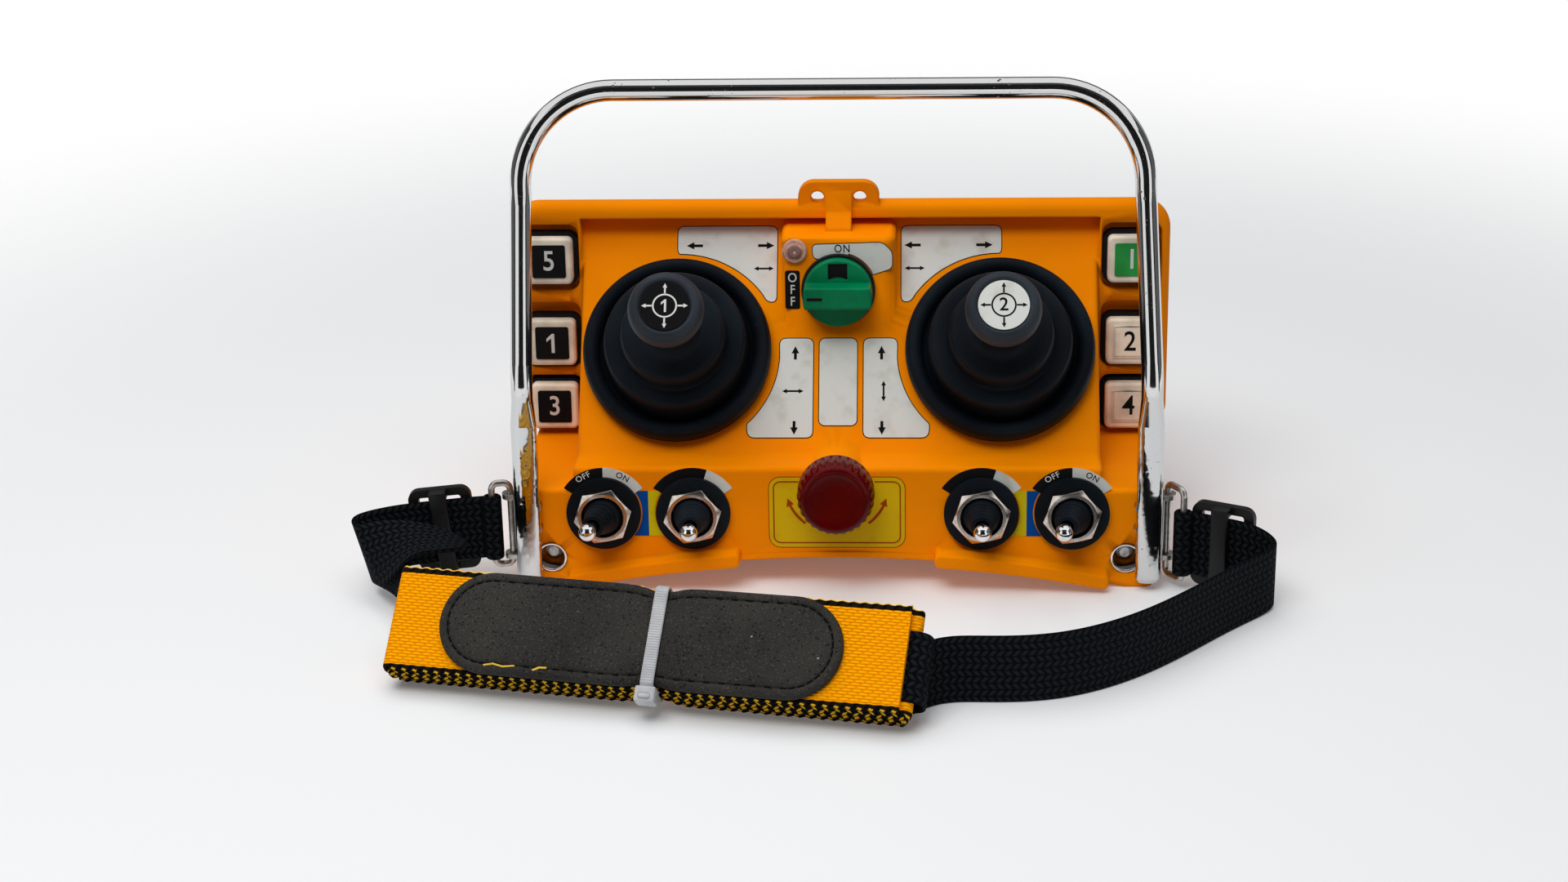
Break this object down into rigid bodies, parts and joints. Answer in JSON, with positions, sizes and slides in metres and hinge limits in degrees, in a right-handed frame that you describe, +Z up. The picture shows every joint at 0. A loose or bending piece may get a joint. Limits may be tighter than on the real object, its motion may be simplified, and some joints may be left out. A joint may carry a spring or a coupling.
{
  "type": "two-joystick radio remote control",
  "caption": "Orange hand-held radio remote control with two joysticks, side keys, front toggles, a stop button, a chrome guard bar and a folded strap.",
  "frame": {"origin": "on the floor, under the middle of the housing's flat base, where the base mount is", "axes": "+X to the operator's right, +Y away from the operator, +Z up"},
  "size_m": [0.3403, 0.2339, 0.1814],
  "materials": {
    "housing_orange": "fine-grained moulded plastic",
    "cover_orange": "fine-grained moulded plastic",
    "black_rubber": "dull soft rubber",
    "boot_rubber": "dull soft rubber",
    "black_plastic": "satin moulded plastic",
    "knob_plastic": "satin moulded plastic",
    "bar_chrome": "bright plating with wear specks",
    "steel": "zinc-plated",
    "nut_metal": "nickel-plated",
    "stop_red": "worn glossy plastic",
    "knob_green": "glossy plastic",
    "key_cream": "matt plastic",
    "lens_clear": "clear lens",
    "board_green": "coated laminate",
    "battery_grey": "moulded holder",
    "web_black": "woven webbing",
    "web_yellow": "woven webbing",
    "pad_black": "napped pad",
    "tie_white": "nylon"
  },
  "bodies": {
    "case": {"battery_cover": "black_plastic", "battery_pack": "battery_grey", "battery_screws": "steel", "cable_tie": "tie_white", "case_gasket": "black_rubber", "case_screws": "steel", "circuit_board": "board_green", "front_housing": "housing_orange", "guard_bar": "bar_chrome", "guard_screws": "steel", "key_surrounds": "black_rubber", "key_switches": "black_plastic", "left_gaiter": "black_rubber", "left_stick_base": "black_plastic", "left_strap": "web_black", "left_strap_ring": "steel", "rear_cover": "cover_orange", "right_gaiter": "black_rubber", "right_stick_base": "black_plastic", "right_strap": "web_black", "right_strap_ring": "steel", "rotary_bezel": "black_plastic", "rotary_switch": "black_plastic", "shoulder_pad": "pad_black", "shoulder_strap": "web_yellow", "status_lens": "lens_clear", "stop_block": "black_plastic", "strap_eyes": "steel", "strap_sliders": "black_plastic", "toggle_bodies": "black_plastic", "toggle_boot_1": "boot_rubber", "toggle_boot_2": "boot_rubber", "toggle_boot_3": "boot_rubber", "toggle_boot_4": "boot_rubber", "toggle_nuts": "nut_metal", "toggle_washers": "black_rubber", "vent_plug": "black_plastic"},
    "left_gimbal": {"left_gimbal": "steel"},
    "right_gimbal": {"right_gimbal": "steel"},
    "left_stick": {"left_stick": "steel", "left_knob": "knob_plastic"},
    "right_stick": {"right_stick": "steel", "right_knob": "knob_plastic"},
    "rotary_knob": {"rotary_knob": "knob_green"},
    "stop_stem": {"stop_stem": "black_plastic"},
    "stop_cap": {"stop_cap": "stop_red"},
    "toggle_lever_1": {"toggle_lever_1": "nut_metal"},
    "toggle_lever_2": {"toggle_lever_2": "nut_metal"},
    "toggle_lever_3": {"toggle_lever_3": "nut_metal"},
    "toggle_lever_4": {"toggle_lever_4": "nut_metal"},
    "left_key_top": {"left_key_top": "key_cream"},
    "left_key_middle": {"left_key_middle": "key_cream"},
    "left_key_bottom": {"left_key_bottom": "key_cream"},
    "right_key_top": {"right_key_top": "key_cream"},
    "right_key_middle": {"right_key_middle": "key_cream"},
    "right_key_bottom": {"right_key_bottom": "key_cream"}
  },
  "joints": [
    {"name": "left_stick_fore_aft", "type": "hinge", "parent": "case", "child": "left_gimbal", "pos_m": [-0.0605, 0.0008, 0.07012], "axis": [1, 0, 0], "range_deg": [-22, 22], "stiffness_Nm_per_rad": 0.9, "deforming": ["left_gaiter"]},
    {"name": "left_stick_left_right", "type": "hinge", "parent": "left_gimbal", "child": "left_stick", "pos_m": [-0.0605, 0.0008, 0.07012], "axis": [0, 0.6018, 0.7986], "range_deg": [-22, 22], "stiffness_Nm_per_rad": 0.9, "deforming": ["left_gaiter"]},
    {"name": "right_stick_fore_aft", "type": "hinge", "parent": "case", "child": "right_gimbal", "pos_m": [0.0605, 0.0008, 0.07012], "axis": [1, 0, 0], "range_deg": [-22, 22], "stiffness_Nm_per_rad": 0.9, "deforming": ["right_gaiter"]},
    {"name": "right_stick_left_right", "type": "hinge", "parent": "right_gimbal", "child": "right_stick", "pos_m": [0.0605, 0.0008, 0.07012], "axis": [0, 0.6018, 0.7986], "range_deg": [-22, 22], "stiffness_Nm_per_rad": 0.9, "deforming": ["right_gaiter"]},
    {"name": "power_turn", "type": "hinge", "parent": "case", "child": "rotary_knob", "pos_m": [0, -0.00182, 0.10001], "axis": [0, -0.9981, 0.061], "range_deg": [-90, 0]},
    {"name": "stop_press", "type": "slide", "parent": "case", "child": "stop_stem", "axis": [0, 0.9981, -0.061], "range_m": [0, 0.005]},
    {"name": "stop_twist", "type": "hinge", "parent": "stop_stem", "child": "stop_cap", "pos_m": [0, -0.04826, 0.03993], "axis": [0, -0.9981, 0.061], "range_deg": [-45, 0], "stiffness_Nm_per_rad": 0.12},
    {"name": "toggle_1_tilt", "type": "hinge", "parent": "case", "child": "toggle_lever_1", "pos_m": [-0.0864, -0.05191, 0.02933], "axis": [0, 0.061, 0.9981], "range_deg": [0, 23], "deforming": ["toggle_boot_1"]},
    {"name": "toggle_2_tilt", "type": "hinge", "parent": "case", "child": "toggle_lever_2", "pos_m": [-0.0532, -0.05191, 0.02933], "axis": [0, 0.061, 0.9981], "range_deg": [-11.5, 11.5], "stiffness_Nm_per_rad": 0.12, "deforming": ["toggle_boot_2"]},
    {"name": "toggle_3_tilt", "type": "hinge", "parent": "case", "child": "toggle_lever_3", "pos_m": [0.0532, -0.05191, 0.02933], "axis": [0, 0.061, 0.9981], "range_deg": [-11.5, 11.5], "stiffness_Nm_per_rad": 0.12, "deforming": ["toggle_boot_3"]},
    {"name": "toggle_4_tilt", "type": "hinge", "parent": "case", "child": "toggle_lever_4", "pos_m": [0.0864, -0.05191, 0.02933], "axis": [0, 0.061, 0.9981], "range_deg": [0, 23], "deforming": ["toggle_boot_4"]},
    {"name": "left_key_top_press", "type": "slide", "parent": "case", "child": "left_key_top", "axis": [0, 0.9981, -0.061], "range_m": [0, 0.0025], "stiffness_N_per_m": 900},
    {"name": "left_key_middle_press", "type": "slide", "parent": "case", "child": "left_key_middle", "axis": [0, 0.9981, -0.061], "range_m": [0, 0.0025], "stiffness_N_per_m": 900},
    {"name": "left_key_bottom_press", "type": "slide", "parent": "case", "child": "left_key_bottom", "axis": [0, 0.9981, -0.061], "range_m": [0, 0.0025], "stiffness_N_per_m": 900},
    {"name": "right_key_top_press", "type": "slide", "parent": "case", "child": "right_key_top", "axis": [0, 0.9981, -0.061], "range_m": [0, 0.0025], "stiffness_N_per_m": 900},
    {"name": "right_key_middle_press", "type": "slide", "parent": "case", "child": "right_key_middle", "axis": [0, 0.9981, -0.061], "range_m": [0, 0.0025], "stiffness_N_per_m": 900},
    {"name": "right_key_bottom_press", "type": "slide", "parent": "case", "child": "right_key_bottom", "axis": [0, 0.9981, -0.061], "range_m": [0, 0.0025], "stiffness_N_per_m": 900}
  ]
}
